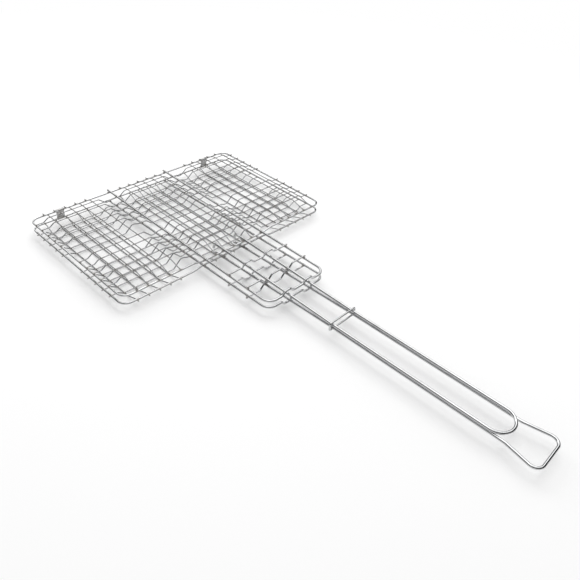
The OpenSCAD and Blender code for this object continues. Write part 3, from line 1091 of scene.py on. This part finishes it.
def matt(board, place, colour, roughness):
    """A matt shader with a faint grain."""
    second = tuple(channel * GRAIN_SHADE for channel in colour)
    return board.add("ShaderNodeBsdfPrincipled", values={
        "Base Color": blend_tone(board, noise(board, place, scale=3.0), (*colour, 1.0), (*second, 1.0)),
        "Roughness": roughness, "Specular IOR Level": 0.1,
    })["BSDF"]


def cloth_finish(stage):
    """Dark, matt cloth."""
    material, board, place = new_finish("dark_cloth")
    board.add("ShaderNodeOutputMaterial", values={"Surface": matt(board, place, stage.flag, roughness=1.0)})
    return material


def seen_rays(board):
    """One for the rays that see the background, by eye or in the metal, and zero for light on the set."""
    ray = board.add("ShaderNodeLightPath")
    return board.add("ShaderNodeMath", {"operation": "MAXIMUM"}, {
        0: ray["Is Camera Ray"], 1: ray["Is Glossy Ray"] + ray["Is Transmission Ray"],
    })[0]


def floor_finish(stage):
    """Matt paper that takes the object's shadow and fades to plain white further off."""
    material, board, place = new_finish("floor_paper")
    paper = matt(board, place, stage.floor, roughness=0.9)
    white = board.add("ShaderNodeEmission", values={"Color": WHITE, "Strength": 1.0})["Emission"]
    away = vector_math(board, "LENGTH", {0: place}, "Value")
    fade = seen_rays(board) * ramp(board, away, stage.fade_start, stage.fade_end)
    sheet = board.add("ShaderNodeMixShader", values={0: fade, 1: paper, 2: white})[0]
    board.add("ShaderNodeOutputMaterial", values={"Surface": sheet})
    return material


def add_room(scene, stage):
    """A pale room: white to the camera and the metal, softer as a light."""
    world = bpy.data.worlds.new("pale_room")
    world.use_nodes = True
    board = Board(world.node_tree)
    strength = stage.sky + seen_rays(board) * (1.0 - stage.sky)
    light = board.add("ShaderNodeBackground", values={"Color": WHITE, "Strength": strength})["Background"]
    board.add("ShaderNodeOutputWorld", values={"Surface": light})
    scene.world = world


def add_soft_box(name, place, side, power):
    """A square soft lamp turned to the middle of the set."""
    data = bpy.data.lights.new(name, "AREA")
    data.shape = "SQUARE"
    data.size = side
    data.energy = power
    lamp = new_object(name, data)
    lamp.location = place
    lamp.rotation_euler = (-Vector(place)).to_track_quat("-Z", "Y").to_euler()
    lamp.visible_camera = False


def add_camera(scene, stage):
    """The camera at the photograph's viewing angle."""
    data = bpy.data.cameras.new("camera")
    data.sensor_width = SENSOR_WIDTH
    data.lens = stage.lens
    data.clip_start, data.clip_end = SIGHT_RANGE
    camera = new_object("camera", data)
    turns = ((-stage.azimuth, "Z"), (math.pi / 2 - stage.elevation, "X"), (stage.roll, "Z"))
    placed = Matrix.Translation(stage.eye)
    for angle, axis in turns:
        placed @= Matrix.Rotation(angle, 4, axis)
    camera.matrix_world = placed
    scene.camera = camera


STEPS = (
    AddRims, AddNecks, AddCrossbars, AddLongWires, AddCrossWires, AddHandles, AddLockRing,
    AddHingeClips, AddWelds, AddStage,
)


class BasketPanel(bpy.types.Panel):
    bl_idname = "VIEW3D_PT_grill_basket"
    bl_label = "Grill basket"
    bl_space_type = "VIEW_3D"
    bl_region_type = "UI"
    bl_category = "Grill basket"

    def draw(self, context):
        for step in STEPS:
            self.layout.operator(step.bl_idname)
        for name, group in GROUPS.items():
            box = self.layout.box()
            box.label(text=name.replace("basket_", "").capitalize())
            for field in group.__annotations__:
                box.prop(getattr(context.scene, name), field)


def register():
    for group in GROUPS.values():
        bpy.utils.register_class(group)
    for name, group in GROUPS.items():
        setattr(bpy.types.Scene, name, PointerProperty(type=group))
    for step in (*STEPS, BasketPanel):
        bpy.utils.register_class(step)


def unregister():
    for step in (BasketPanel, *reversed(STEPS)):
        bpy.utils.unregister_class(step)
    for name, group in reversed(GROUPS.items()):
        delattr(bpy.types.Scene, name)
        bpy.utils.unregister_class(group)


def main():
    """Registers the steps, then builds every piece and the stage in order."""
    register()
    for step in STEPS:
        getattr(bpy.ops.grill_basket, step.bl_idname.split(".")[1])()


if __name__ == "__main__":
    main()
